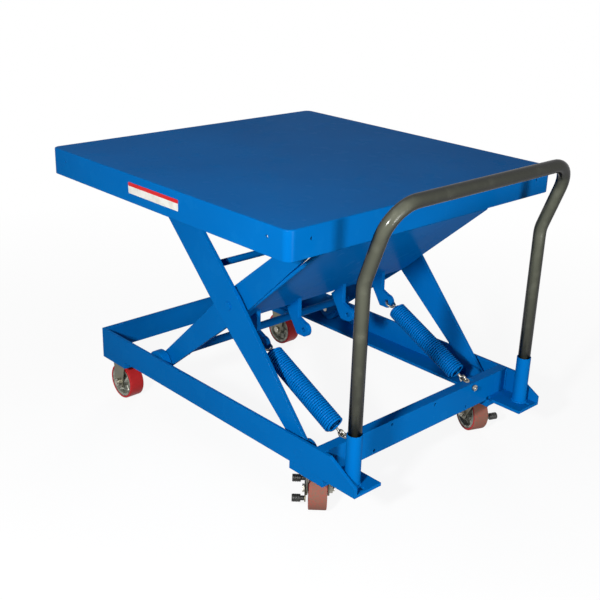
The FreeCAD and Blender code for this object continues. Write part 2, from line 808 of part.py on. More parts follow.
def deck_pan():
    half = deck_size / 2
    shell = rounded_block(deck_rear_x, deck_front_x, half, deck_skirt_z, deck_top_z, deck_corner_radius)
    rim = [e for e in shell.Edges if e.BoundBox.ZMin > deck_top_z - 0.01]
    shell = shell.makeFillet(deck_edge_radius, rim)
    wall = deck_skirt_thickness
    inside = rounded_block(deck_rear_x + wall, deck_front_x - wall, half - wall, deck_skirt_z,
                           deck_under_z, deck_corner_radius - wall)
    pan = shell.cut(inside)
    hole_z = deck_top_z - deck_hole_depth
    for sign in sides.values():
        for x in (deck_rear_x + deck_hole_inset, deck_front_x - deck_hole_inset):
            pan = pan.cut(cross_pin(Vector(x, 0, hole_z), deck_hole_radius, sign * (half - 2 * wall),
                                    sign * half))
        start = Vector(deck_front_x - 2 * wall, sign * (half - deck_hole_inset), hole_z)
        pan = pan.cut(Part.makeCylinder(deck_hole_radius, 2 * wall, start, forward))
    return pan


def roller_channel(sign):
    # A track with a web outside the roller and a lip under it; the deck plate closes its top.
    inner = outer_leg_outer_face + upper_roller_inset
    web_face = inner + upper_roller_width + side_play + roller_head_thickness + channel_side_gap
    lip_top = upper_roller_axis.z - upper_roller_radius - channel_roller_gap
    x_to = upper_roller_axis.x + channel_roller_lead
    x_from = x_to - channel_length
    web = box(x_from, x_to, sign * web_face, sign * (web_face + channel_thickness),
              lip_top - channel_thickness, deck_under_z)
    lip = box(x_from, x_to, sign * inner, sign * web_face, lip_top - channel_thickness, lip_top)
    return fused(web, lip)


def deck_bracket(sign):
    # Two ears, one each side of the inner leg, hung from a plate under the deck.
    inner_ear = inner_leg_inner_face - bracket_gap
    outer_ear = inner_leg_outer_face + bracket_gap
    plate_z = deck_under_z - bracket_plate
    x_from = deck_pivot.x - bracket_half_width
    x_to = deck_pivot.x + bracket_half_width
    plate = box(x_from, x_to, sign * (inner_ear - bracket_thickness),
                sign * (outer_ear + bracket_thickness), plate_z, deck_under_z)
    solids = [plate]
    corners = [
        Vector(x_from, 0, plate_z),
        Vector(deck_pivot.x - bracket_eye_radius, 0, deck_pivot.z),
        Vector(deck_pivot.x + bracket_eye_radius, 0, deck_pivot.z),
        Vector(x_to, 0, plate_z),
    ]
    for y_from, y_to in ((inner_ear - bracket_thickness, inner_ear),
                         (outer_ear, outer_ear + bracket_thickness)):
        solids.append(side_plate(corners, sign * y_from, sign * y_to))
        solids.append(cross_pin(deck_pivot, bracket_eye_radius, sign * y_from, sign * y_to))
    bracket = fused(solids[0], *solids[1:])
    return bracket.cut(cross_pin(deck_pivot, deck_pin_radius, sign * (inner_ear - bracket_thickness),
                                 sign * (outer_ear + bracket_thickness)))


def deck_pin(sign):
    inner = inner_leg_inner_face - bracket_gap - bracket_thickness
    outer = inner_leg_outer_face + bracket_gap + bracket_thickness
    pin = cross_pin(deck_pivot, deck_pin_radius, sign * inner, sign * outer)
    head = cross_pin(deck_pivot, deck_pin_head_radius, sign * outer,
                     sign * (outer + deck_pin_head_thickness))
    return fused(pin, head)


os.makedirs("parts", exist_ok=True)

for side, sign in sides.items():
    save("rail_" + side, rail(sign))
    save("handle_socket_" + side, socket(sign))
    save("outer_leg_" + side, outer_leg(sign))
    save("inner_leg_" + side, inner_leg(sign))
    lower_from = inner_leg_outer_face + lower_roller_inset
    save("lower_roller_" + side, roller(lower_roller_axis, lower_roller_radius, sign * lower_from,
                                        sign * (lower_from + lower_roller_width)))
    upper_from = outer_leg_outer_face + upper_roller_inset
    save("upper_roller_" + side, roller(upper_roller_axis, upper_roller_radius, sign * upper_from,
                                        sign * (upper_from + upper_roller_width)))
    save("deck_channel_" + side, roller_channel(sign))
    save("deck_bracket_" + side, deck_bracket(sign))
    save("spring_upper_" + side, spring_upper(spring_offsets[side]))
    save("spring_lower_" + side, spring_lower(spring_offsets[side]))

    rear_hub, rear_tread = wheel_parts(0)
    save("rear_fork_" + side, place(rigid_fork(), rear_caster_x, sign, 0))
    save("rear_hub_" + side, place(rear_hub, rear_caster_x, sign, 0))
    save("rear_tread_" + side, place(rear_tread, rear_caster_x, sign, 0))
    angle = left_swivel_angle if sign < 0 else right_swivel_angle
    front_hub, front_tread = wheel_parts(swivel_trail)
    save("swivel_plate_" + side, place(swivel_top(), front_caster_x, sign, 0))
    save("swivel_fork_" + side, place(swivel_fork(), front_caster_x, sign, angle))
    save("front_axle_" + side, place(axle(swivel_trail, pedal_outer_y - side_play), front_caster_x, sign, angle))
    save("front_hub_" + side, place(front_hub, front_caster_x, sign, angle))
    save("front_tread_" + side, place(front_tread, front_caster_x, sign, angle))
    save("lock_pedal_" + side, place(pedal_plate(), front_caster_x, sign, angle))
    save("pedal_pads_" + side, [place(pad, front_caster_x, sign, angle) for pad in pedal_pads()])

both = sides.values()
save("rear_cross_member", notched_member(-base_half_length, -base_half_length + rear_member_thickness,
                                         rail_top_z))
save("front_cross_member", front_member())
save("rear_caster_trays", [caster_tray(-base_half_length, sign) for sign in both])
save("front_caster_trays", [caster_tray(base_half_length + front_tray_overhang - tray_length, sign)
                            for sign in both])
save("push_handle", handle())
save("base_pivot_ears", [base_ear(sign) for sign in both])
save("base_pivot_pins", [base_pivot_pin(sign) for sign in both])
save("eyebolts", [solid for y in spring_offsets.values() for solid in eyebolt(y)])
save("kingpins", [place(kingpin(), front_caster_x, sign, 0) for sign in both])
save("rear_axles", [place(axle(0, -fork_half_width), rear_caster_x, sign, 0) for sign in both])
save("caster_bolts", [place(bolt, x, sign, 0) for x in (rear_caster_x, front_caster_x) for sign in both
                      for bolt in caster_bolts()])
outer_rod_centre = base_pivot + outer_along * outer_rod_station
save("outer_spreader_rod", cross_pin(outer_rod_centre, outer_rod_radius, -outer_leg_inner_face,
                                     outer_leg_inner_face))
inner_rod_centre = lower_roller_axis + inner_along * inner_rod_station - inner_up * inner_rod_drop
save("inner_spreader_rod", cross_pin(inner_rod_centre, inner_rod_radius, -inner_leg_inner_face,
                                     inner_leg_inner_face))
save("centre_pivot_bolts", [solid for sign in both for solid in centre_bolt(sign)])
save("upper_roller_axles", [roller_axle(upper_roller_axis, outer_leg_inner_face,
                                        outer_leg_outer_face + upper_roller_inset + upper_roller_width,
                                        sign) for sign in both])
save("lower_roller_axles", [roller_axle(lower_roller_axis, inner_leg_inner_face,
                                        inner_leg_outer_face + lower_roller_inset + lower_roller_width,
                                        sign) for sign in both])
save("torque_plate", torque_plate())
save("spring_lugs", [spring_lug(y) for y in lug_offsets])
save("deck_pan", deck_pan())
save("deck_pivot_pins", [deck_pin(sign) for sign in both])
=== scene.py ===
import json
import math

import bpy
import numpy as np
from mathutils import Matrix, Vector


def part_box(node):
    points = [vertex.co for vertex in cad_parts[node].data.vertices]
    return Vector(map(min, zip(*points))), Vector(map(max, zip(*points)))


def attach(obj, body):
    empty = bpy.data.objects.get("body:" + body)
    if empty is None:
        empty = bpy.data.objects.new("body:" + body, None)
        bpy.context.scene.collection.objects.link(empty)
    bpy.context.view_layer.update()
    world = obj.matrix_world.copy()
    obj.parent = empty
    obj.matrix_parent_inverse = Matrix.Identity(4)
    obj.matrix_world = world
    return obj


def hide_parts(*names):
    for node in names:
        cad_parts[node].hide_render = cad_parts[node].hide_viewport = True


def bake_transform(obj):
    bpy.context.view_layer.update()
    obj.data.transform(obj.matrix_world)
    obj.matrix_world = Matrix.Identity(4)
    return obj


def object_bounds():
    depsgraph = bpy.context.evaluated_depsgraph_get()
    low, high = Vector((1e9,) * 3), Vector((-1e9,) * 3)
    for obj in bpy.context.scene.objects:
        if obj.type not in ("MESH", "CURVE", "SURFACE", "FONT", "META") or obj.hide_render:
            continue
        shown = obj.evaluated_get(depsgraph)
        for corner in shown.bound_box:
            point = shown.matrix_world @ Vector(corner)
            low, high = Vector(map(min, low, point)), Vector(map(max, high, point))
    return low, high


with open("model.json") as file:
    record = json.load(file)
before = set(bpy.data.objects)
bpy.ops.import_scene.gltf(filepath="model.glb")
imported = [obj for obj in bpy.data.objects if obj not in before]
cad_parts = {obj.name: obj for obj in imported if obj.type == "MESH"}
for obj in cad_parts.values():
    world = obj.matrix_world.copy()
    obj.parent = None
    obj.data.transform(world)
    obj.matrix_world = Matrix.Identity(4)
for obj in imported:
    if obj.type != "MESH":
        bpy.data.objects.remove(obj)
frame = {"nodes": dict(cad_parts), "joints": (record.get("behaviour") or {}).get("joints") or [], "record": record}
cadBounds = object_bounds()
nodes = frame["nodes"]
joints = {joint["name"]: joint for joint in frame["joints"]}
sides = {"left": -1, "right": 1}
mm = 0.001


# Nodes and colours for materials.

def linearColour(hexText):
    values = [int(hexText[i:i + 2], 16) / 255 for i in (0, 2, 4)]
    return [v / 12.92 if v <= 0.04045 else ((v + 0.055) / 1.055) ** 2.4 for v in values] + [1.0]


def addNode(tree, kind, settings=None, inputs=None):
    node = tree.nodes.new("ShaderNode" + kind)
    for name, value in (settings or {}).items():
        setattr(node, name, value)
    for name, value in (inputs or {}).items():
        if isinstance(value, bpy.types.NodeSocket):
            tree.links.new(value, node.inputs[name])
        else:
            node.inputs[name].default_value = value
    return node


def startMaterial(name):
    material = bpy.data.materials.new(name)
    material.use_nodes = True
    tree = material.node_tree
    tree.nodes.clear()
    shader = addNode(tree, "BsdfPrincipled")
    output = addNode(tree, "OutputMaterial")
    tree.links.new(shader.outputs["BSDF"], output.inputs["Surface"])
    return material, tree, shader


def noiseAt(tree, sizeMm, detail=2.0):
    # Noise whose lumps are about sizeMm across on the object.
    place = addNode(tree, "TexCoord").outputs["Object"]
    return addNode(tree, "TexNoise", inputs={"Vector": place, "Scale": 1 / (sizeMm * mm),
                                             "Detail": detail}).outputs["Fac"]


def spread(tree, value, low, high, toLow, toHigh):
    node = addNode(tree, "MapRange", inputs={"Value": value, "From Min": low, "From Max": high,
                                             "To Min": toLow, "To Max": toHigh})
    return node.outputs["Result"]


def mixColour(tree, amount, first, second):
    node = addNode(tree, "Mix", {"data_type": "RGBA"})
    for index, value in ((0, amount), (6, first), (7, second)):
        if isinstance(value, bpy.types.NodeSocket):
            tree.links.new(value, node.inputs[index])
        else:
            node.inputs[index].default_value = value
    return node.outputs[2]


def softEdges(tree, radiusMm):
    # Normals rounded over every sharp edge, and a mask that is 1 where the edge turns.
    rounded = addNode(tree, "Bevel", {"samples": 6}, {"Radius": radiusMm * mm}).outputs["Normal"]
    flat = addNode(tree, "NewGeometry").outputs["True Normal"]
    facing = addNode(tree, "VectorMath", {"operation": "DOT_PRODUCT"}, {0: rounded, 1: flat})
    return rounded, spread(tree, facing.outputs["Value"], 0.97, 0.80, 0.0, 1.0)


def bumpFrom(tree, height, strength, distanceMm, normal=None):
    inputs = {"Height": height, "Strength": strength, "Distance": distanceMm * mm}
    if normal is not None:
        inputs["Normal"] = normal
    return addNode(tree, "Bump", inputs=inputs).outputs["Normal"]


def bluePowderCoat():
    # Polyester powder coat on steel, sprayed and baked: glossy, with a faint orange peel of about
    # 3 mm, slow changes of film thickness, paler rubbed spots, and a painted highlight that makes
    # every sharp edge paler. The gloss is a clear top layer, so that the colour stays deep on the flat deck.
    paint = {"colour": "006BB8", "deep": "005EA6", "rubbedAndHighlight": "1C78BC", "peelMm": 3.0,
             "driftMm": 240, "scuffMm": 55, "roughness": (0.24, 0.40), "edgeMm": 1.6,
             "rubbedShare": 0.16, "edgeHighlightShare": 0.30, "gloss": 0.06}
    material, tree, shader = startMaterial("bluePowderCoat")
    drift = noiseAt(tree, paint["driftMm"])
    scuff = spread(tree, noiseAt(tree, paint["scuffMm"], 4.0), 0.55, 0.80, 0.0,
                   paint["rubbedShare"])
    rounded, edge = softEdges(tree, paint["edgeMm"])
    base = mixColour(tree, drift, linearColour(paint["deep"]), linearColour(paint["colour"]))
    # Painted highlight: the edges are mixed toward the paler colour, together with the random rubbed spots.
    wornAndHighlit = addNode(tree, "Math", {"operation": "MAXIMUM"},
                   {0: scuff, 1: spread(tree, edge, 0.0, 1.0, 0.0, paint["edgeHighlightShare"])})
    colour = mixColour(tree, wornAndHighlit.outputs["Value"], base, linearColour(paint["rubbedAndHighlight"]))
    low, high = paint["roughness"]
    gloss = spread(tree, scuff, 0.0, paint["rubbedShare"], low, high)
    peel = noiseAt(tree, paint["peelMm"], 1.0)
    normal = bumpFrom(tree, peel, 0.05, 0.10, rounded)
    for socket, value in (("Base Color", colour), ("Roughness", gloss), ("Coat Roughness", gloss),
                          ("Normal", normal), ("Coat Normal", normal)):
        tree.links.new(value, shader.inputs[socket])
    shader.inputs["Specular IOR Level"].default_value = 0.0
    shader.inputs["Coat Weight"].default_value = paint["gloss"]
    return material


def blackPowderCoat():
    # Gloss black powder coat on drawn tube, with a painted sheen: warm grey where it faces the viewer,
    # painted near black along its edges as painted shade, and paler rubbed spots that show only inside that
    # painted sheen.
    paint = {"edge": "040503", "facing": "505246", "rubbedAndHighlight": "707164", "peelMm": 2.5,
             "rubMm": 45, "rubbedShare": 0.45, "roughness": (0.16, 0.34), "gloss": 0.45}
    material, tree, shader = startMaterial("blackPowderCoat")
    # Painted sheen and shade: the colour runs from the facing colour toward the viewer to the near-black edge
    # colour along the outline.
    facing = addNode(tree, "LayerWeight", inputs={"Blend": 0.5}).outputs["Facing"]
    sheen = spread(tree, facing, 0.05, 0.62, 1.0, 0.0)
    base = mixColour(tree, sheen, linearColour(paint["edge"]), linearColour(paint["facing"]))
    rub = spread(tree, noiseAt(tree, paint["rubMm"], 6.0), 0.52, 0.78, 0.0, paint["rubbedShare"])
    # The rubbed spots are shown only where the painted sheen is.
    shown = addNode(tree, "Math", {"operation": "MULTIPLY"}, {0: rub, 1: sheen}).outputs["Value"]
    colour = mixColour(tree, shown, base, linearColour(paint["rubbedAndHighlight"]))
    low, high = paint["roughness"]
    gloss = spread(tree, rub, 0.0, paint["rubbedShare"], low, high)
    peel = noiseAt(tree, paint["peelMm"], 1.0)
    normal = bumpFrom(tree, peel, 0.10, 0.10)
    for socket, value in (("Base Color", colour), ("Roughness", gloss), ("Coat Roughness", gloss),
                          ("Normal", normal), ("Coat Normal", normal)):
        tree.links.new(value, shader.inputs[socket])
    shader.inputs["Specular IOR Level"].default_value = 0.0
    shader.inputs["Coat Weight"].default_value = paint["gloss"]
    return material


def zincPlate(name, colour, roughness):
    # Bright zinc on pressed or turned steel: grey with warm blotches of passivation and fine marks, and a painted
    # highlight that makes the edges paler.
    finish = {"warm": "8A8468", "edgeHighlight": "D8D6CC", "blotchMm": 14, "markMm": 1.2, "edgeMm": 0.8}
    material, tree, shader = startMaterial(name)
    blotch = spread(tree, noiseAt(tree, finish["blotchMm"], 4.0), 0.40, 0.72, 0.0, 0.55)
    rounded, edge = softEdges(tree, finish["edgeMm"])
    base = mixColour(tree, blotch, linearColour(colour), linearColour(finish["warm"]))
    # Painted highlight: the edges are mixed halfway to the pale colour.
    edgeHighlight = mixColour(tree, spread(tree, edge, 0.0, 1.0, 0.0, 0.5), base,
                       linearColour(finish["edgeHighlight"]))
    tree.links.new(edgeHighlight, shader.inputs["Base Color"])
    low, high = roughness
    tree.links.new(spread(tree, blotch, 0.0, 0.55, low, high), shader.inputs["Roughness"])
    marks = noiseAt(tree, finish["markMm"], 2.0)
    tree.links.new(bumpFrom(tree, marks, 0.15, 0.10, rounded), shader.inputs["Normal"])
    shader.inputs["Metallic"].default_value = 1.0
    return material


def castIronHub():
    # Sand-cast iron wheel core, painted thin silver grey: grainy, and darker in random patches about 14 mm across.
    finish = {"colour": "8E8F84", "darkPatch": "2C2D25", "grainMm": 1.6, "darkPatchMm": 14}
    material, tree, shader = startMaterial("castIronHub")
    darkPatch = spread(tree, noiseAt(tree, finish["darkPatchMm"], 5.0), 0.42, 0.70, 0.0, 0.8)
    colour = mixColour(tree, darkPatch, linearColour(finish["colour"]), linearColour(finish["darkPatch"]))
    tree.links.new(colour, shader.inputs["Base Color"])
    tree.links.new(spread(tree, darkPatch, 0.0, 0.8, 0.38, 0.62), shader.inputs["Roughness"])
    grain = noiseAt(tree, finish["grainMm"], 3.0)
    tree.links.new(bumpFrom(tree, grain, 0.35, 0.25), shader.inputs["Normal"])
    shader.inputs["Metallic"].default_value = 0.65
    return material


def redPolyurethane():
    # Cast polyurethane tread: satin red sides, and a running face dulled by grey-brown floor dust.
    # Each wheel's mesh carries the attribute runFace, 0 on the sides and the wheel's share of dust
    # on the running face.
    finish = {"colour": "CC1622", "deep": "B4121E", "dust": "6A6152", "dustMm": 5, "driftMm": 40,
              "scratchMm": 1.5}
    material, tree, shader = startMaterial("redPolyurethane")
    drift = noiseAt(tree, finish["driftMm"])
    runFace = addNode(tree, "Attribute", {"attribute_name": "runFace"}).outputs["Fac"]
    amount = spread(tree, noiseAt(tree, finish["dustMm"], 6.0), 0.30, 0.72, 0.60, 0.95)
    dust = addNode(tree, "Math", {"operation": "MULTIPLY"},
                   {0: amount, 1: runFace}).outputs["Value"]
    base = mixColour(tree, drift, linearColour(finish["deep"]), linearColour(finish["colour"]))
    colour = mixColour(tree, dust, base, linearColour(finish["dust"]))
    tree.links.new(colour, shader.inputs["Base Color"])
    tree.links.new(spread(tree, dust, 0.0, 0.8, 0.36, 0.70), shader.inputs["Roughness"])
    scratch = noiseAt(tree, finish["scratchMm"], 3.0)
    tree.links.new(bumpFrom(tree, scratch, 0.2, 0.15), shader.inputs["Normal"])
    shader.inputs["Specular IOR Level"].default_value = 0.15
    return material


def mouldedPad():
    # Moulded black nylon: satin, with a fine grain and grey dust on its ribs.
    finish = {"colour": "131412", "dust": "4A4B45", "grainMm": 1.0, "dustMm": 6}
    material, tree, shader = startMaterial("mouldedNylonPad")
    dust = spread(tree, noiseAt(tree, finish["dustMm"], 5.0), 0.50, 0.80, 0.0, 0.6)
    colour = mixColour(tree, dust, linearColour(finish["colour"]), linearColour(finish["dust"]))
    tree.links.new(colour, shader.inputs["Base Color"])
    tree.links.new(spread(tree, dust, 0.0, 0.6, 0.40, 0.65), shader.inputs["Roughness"])
    grain = noiseAt(tree, finish["grainMm"], 2.0)
    tree.links.new(bumpFrom(tree, grain, 0.25, 0.10), shader.inputs["Normal"])
    return material


def vinylStrip(centreZ, halfHeight):
    # Printed vinyl: satin white below a red band, with slightly yellowed, dusty patches.
    finish = {"white": "E4E2DC", "aged": "C9C5B8", "red": "C81A1E", "bandShare": 0.32, "ageMm": 22}
    material, tree, shader = startMaterial("plainVinylStrip")
    place = addNode(tree, "SeparateXYZ", inputs={0: addNode(tree, "TexCoord").outputs["Object"]})
    edge = centreZ + halfHeight * finish["bandShare"]
    band = spread(tree, place.outputs["Z"], edge - 0.0002, edge + 0.0002, 0.0, 1.0)
    aged = spread(tree, noiseAt(tree, finish["ageMm"], 4.0), 0.4, 0.75, 0.0, 0.8)
    white = mixColour(tree, aged, linearColour(finish["white"]), linearColour(finish["aged"]))
    tree.links.new(mixColour(tree, band, white, linearColour(finish["red"])),
                   shader.inputs["Base Color"])
    tree.links.new(spread(tree, aged, 0.0, 0.8, 0.34, 0.5), shader.inputs["Roughness"])
    shader.inputs["Specular IOR Level"].default_value = 0.15
    return material


# Meshes from arrays of points.

def gridObject(name, points, closeU=False, closeV=False, capEnds=False):
    # points[i, j] is the surface at step i along u and step j along v. capEnds closes the two ends
    # of a tube whose v direction is closed, with a fan of triangles round each end's mean point.
    rows, columns = points.shape[:2]
    i = np.arange(rows if closeU else rows - 1)[:, None]
    j = np.arange(columns if closeV else columns - 1)[None, :]
    nextI, nextJ = (i + 1) % rows, (j + 1) % columns
    faces = np.stack([i * columns + j, i * columns + nextJ, nextI * columns + nextJ,
                      nextI * columns + j], axis=-1).reshape(-1, 4).tolist()
    vertices = points.reshape(-1, 3)
    if capEnds:
        ends = np.stack([points[0].mean(0), points[-1].mean(0)])
        ring = np.arange(columns)
        around = (ring + 1) % columns
        first = np.full(columns, len(vertices))
        last = (rows - 1) * columns
        faces += np.stack([first, around, ring], axis=-1).tolist()
        faces += np.stack([first + 1, last + ring, last + around], axis=-1).tolist()
        vertices = np.concatenate([vertices, ends])
    mesh = bpy.data.meshes.new(name)
    mesh.from_pydata(vertices.tolist(), [], faces)
    mesh.shade_smooth()
    thing = bpy.data.objects.new(name, mesh)
    bpy.context.scene.collection.objects.link(thing)
    return thing


def joined(name, things):
    # One piece from several: vertices and faces are stacked in one mesh.
    vertices, faces, offset = [], [], 0
    for thing in things:
        mesh = thing.data
        vertices += [tuple(v.co) for v in mesh.vertices]
        faces += [[offset + k for k in polygon.vertices] for polygon in mesh.polygons]
        offset += len(mesh.vertices)
        bpy.data.objects.remove(thing)
    mesh = bpy.data.meshes.new(name)
    mesh.from_pydata(vertices, [], faces)
    mesh.shade_smooth()
    result = bpy.data.objects.new(name, mesh)
    bpy.context.scene.collection.objects.link(result)
    return result


def unit(vectors):
    return vectors / np.linalg.norm(vectors, axis=-1, keepdims=True)


def tubeAlong(path, reference, radius, sideCount=12):
    # p(i, v) = path(i) + radius(i) * (cos v * n(i) + sin v * b(i)), with n across the tangent and
    # the reference direction, and b across both.
    tangent = unit(np.gradient(path, axis=0))
    normal = unit(np.cross(np.broadcast_to(reference, path.shape), tangent))
    other = np.cross(tangent, normal)
    turn = np.linspace(0, 2 * np.pi, sideCount, endpoint=False)
    reach = np.broadcast_to(radius, len(path))[:, None, None]
    return path[:, None] + reach * (np.cos(turn)[None, :, None] * normal[:, None]
                                    + np.sin(turn)[None, :, None] * other[:, None])


def turned(profile, centre, axis, segments=64):
    # Surface of revolution: p(i, v) = centre + along(i) * axis
    # + radius(i) * (cos v * e1 + sin v * e2).
    axis = unit(np.array(axis, float))
    e1 = unit(np.cross(axis, [0, 0, 1.0]))
    e2 = np.cross(axis, e1)
    turn = np.linspace(0, 2 * np.pi, segments, endpoint=False)
    spoke = np.cos(turn)[:, None] * e1 + np.sin(turn)[:, None] * e2
    profile = np.array(profile, float)
    return (np.array(centre, float) + profile[:, 1][:, None, None] * axis
            + profile[:, 0][:, None, None] * spoke[None])


def roundedCorners(points, radii, steps=10):
    # A path with an arc at each inner corner. The arc's centre lies on the bisector of the runs,
    # radius / sin(half the angle) from the corner, and the arc is sampled evenly in angle.
    points = [np.array(p, float) for p in points]
    path = [points[0]]
    for index, radius in enumerate(radii):
        corner = points[index + 1]
        back = unit(points[index] - corner)
        ahead = unit(points[index + 2] - corner)
        half = math.acos(float(np.clip(back @ ahead, -1, 1))) / 2
        bisector = unit(back + ahead)
        centre = corner + bisector * radius / math.sin(half)
        entry = corner + back * radius / math.tan(half) - centre
        leave = corner + ahead * radius / math.tan(half) - centre
        sweep = math.pi - 2 * half
        share = np.linspace(0, 1, steps)[:, None]
        path += list(centre + (np.sin((1 - share) * sweep) * entry
                               + np.sin(share * sweep) * leave) / math.sin(sweep))
    path.append(points[-1])
    return np.array(path)


def dressed(thing, material, body, slot, *replaced):
    thing.data.materials.clear()
    thing.data.materials.append(material)
    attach(thing, body)
    if replaced:
        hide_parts(*replaced)
    return thing


# Materials on the pieces that keep their modelled shape.

print("materials")
finishes = {
    "blue_powder_coat": bluePowderCoat(),
    "black_powder_coat": blackPowderCoat(),
    "zinc_plate": zincPlate("zincPlatedPressing", "66655B", (0.34, 0.54)),
    "bolt_steel": zincPlate("zincPlatedBolt", "A3A098", (0.26, 0.46)),
    "roller_steel": zincPlate("turnedRollerSteel", "9B9A94", (0.24, 0.42)),
    "cast_hub": castIronHub(),
    "red_polyurethane": redPolyurethane(),
    "black_pad": mouldedPad(),
}
slotOf = {part["node"]: part["material_slot"] for part in frame["record"]["subparts"]}
for nodeName, thing in nodes.items():
    thing.data.materials.clear()
    thing.data.materials.append(finishes[slotOf[nodeName]])


# Extension springs: one continuous painted coil with a bare hook at each end.

print("springs")
springShape = {"wire": 6.0, "coilRadius": 22.0, "length": 307.498, "lugLoop": 12.0,
               "lugNeck": 4.0, "eyeLoop": 8.0, "eyeNeck": 7.0, "eyeWire": 3.5, "pitchShare": 1.03,
               "endTurns": 0.8, "endShare": 0.22, "pointsPerTurn": 26, "wireSides": 9,
               "hookSides": 12, "hookOpen": 0.32, "hookTip": 0.15, "upperLead": 7.0,
               "lowerLead": 3.0, "blendLow": 24.0, "blendHigh": 34.0}


def springPlace(side):
    low = np.array(joints["spring_turn_" + side]["pos_m"])
    upward = unit(np.array(joints["spring_stretch_" + side]["axis"], float))
    high = low + upward * springShape["length"] * mm
    return high, -upward


def springCoil(side):
    # Helix: p(t) = high + u(t) * down + r(t) * (cos t * e1 + sin t * e2). The radius grows from
    # endShare of the coil radius to all of it over the first endTurns, and shrinks over the last.
    high, down = springPlace(side)
    shape = springShape
    start = 2 * shape["lugLoop"] + shape["lugNeck"] + shape["wire"]
    end = shape["length"] - shape["eyeNeck"] - shape["eyeLoop"] - 1.5 * shape["wire"]
    turns = round((end - start) / (shape["wire"] * shape["pitchShare"]))
    t = np.linspace(0, turns, turns * shape["pointsPerTurn"])
    endTurn = np.minimum(np.minimum(t, turns - t) / shape["endTurns"], 1)
    least = shape["endShare"]
    radius = shape["coilRadius"] * (least + (1 - least) * np.sin(endTurn * np.pi / 2))
    across = np.array([0.0, 1.0, 0.0])
    other = np.cross(down, across)
    angle = 2 * np.pi * t[:, None]
    path = high + mm * ((start + (end - start) * t[:, None] / turns) * down
                        + radius[:, None] * (np.cos(angle) * across + np.sin(angle) * other))
    tube = tubeAlong(path, down, shape["wire"] / 2 * mm, shape["wireSides"])
    return gridObject("springCoil", tube, closeV=True, capEnds=True)


def springHooks(side):
    # Each hook is an arc of a circle in one plane, led into the middle of the coil's end. The
    # centre, the sideways direction, the radius, the way it opens and the lead's end are listed.
    high, down = springPlace(side)
    shape = springShape
    across = np.array([0.0, 1.0, 0.0])
    rise = np.cross(down, across)
    hooks = []
    lowHookFar = shape["length"] + shape["eyeWire"] + shape["wire"] / 2
    ends = (
        (shape["lugLoop"], across, shape["lugLoop"], 1,
         2 * shape["lugLoop"] + shape["lugNeck"] + shape["upperLead"]),
        (lowHookFar - shape["eyeLoop"], rise, shape["eyeLoop"], -1,
         lowHookFar - 2 * shape["eyeLoop"] - shape["eyeNeck"] - shape["lowerLead"]),
    )
    for centre, sideways, radius, sign, neckEnd in ends:
        angle = np.linspace(shape["hookOpen"], 2 * np.pi - shape["hookTip"], 40)
        along = centre + sign * radius * np.cos(angle)
        beside = radius * np.sin(angle)
        run = np.linspace(0, 1, 10)[1:]
        along = np.concatenate([along, along[-1] + (neckEnd - along[-1]) * run])
        beside = np.concatenate([beside, beside[-1] * (1 - run) ** 2])
        path = high + mm * (along[:, None] * down + beside[:, None] * sideways)
        tube = tubeAlong(path, np.cross(down, sideways), shape["wire"] / 2 * mm, shape["hookSides"])
        hooks.append(gridObject("hook", tube, closeV=True, capEnds=True))
    return hooks


for side in sides:
    coil = springCoil(side)
    coil.name = "springCoil_" + side
    coil.data.materials.append(finishes["blue_powder_coat"])
    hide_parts("spring_upper_" + side, "spring_lower_" + side)
    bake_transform(coil)
    upperHook, lowerHook = springHooks(side)
    upperHook.name = "springHookUpper_" + side
    lowerHook.name = "springHookLower_" + side
    dressed(upperHook, finishes["bolt_steel"], "spring_high_end_" + side, "bolt_steel")
    dressed(lowerHook, finishes["bolt_steel"], "spring_low_end_" + side, "bolt_steel")


# Push handle: one drawn tube, open at its feet inside the sockets.

print("handle")
handleShape = {"radius": 15.875, "cornerRadius": 75.0, "bendRadius": 80.0, "lean": 19.6,
               "sides": 28, "arcSteps": 14}


def pushHandle():
    # Straight up from each foot, an outward bend, a leaning run and a rounded corner to the bar.
    shape = handleShape
    low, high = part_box("push_handle")
    r = shape["radius"] * mm
    footX = low.x + r
    barX, barZ = high.x - r, high.z - r
    bendZ = barZ - (barX - footX) / math.tan(math.radians(shape["lean"]))
    footY = high.y - r
    half = [(footX, -footY, low.z), (footX, -footY, bendZ), (barX, -footY, barZ)]
    points = half + [(x, -y, z) for x, y, z in half[::-1]]
    bend, corner = shape["bendRadius"] * mm, shape["cornerRadius"] * mm
    path = roundedCorners(points, [bend, corner, corner, bend], shape["arcSteps"])
    tube = tubeAlong(path, np.array([1.0, 0.0, 0.0]), r, shape["sides"])
    return gridObject("pushHandleTube", tube, closeV=True, capEnds=True)


dressed(pushHandle(), finishes["black_powder_coat"], "base", "black_powder_coat", "push_handle")


# Wheels: a ribbed cast core and a moulded tread on each caster.

print("wheels")
wheelShape = {"radius": 50.8, "width": 44.0, "treadInner": 44.8, "rimInner": 37.5, "web": 12.0,
              "boss": 14.0, "bossHalf": 23.4, "bore": 6.1, "ribs": 6, "ribHeight": 7.0,
              "segments": 96, "edge": 2.6, "dust": {"rear": 0.18, "front": 1.0}}


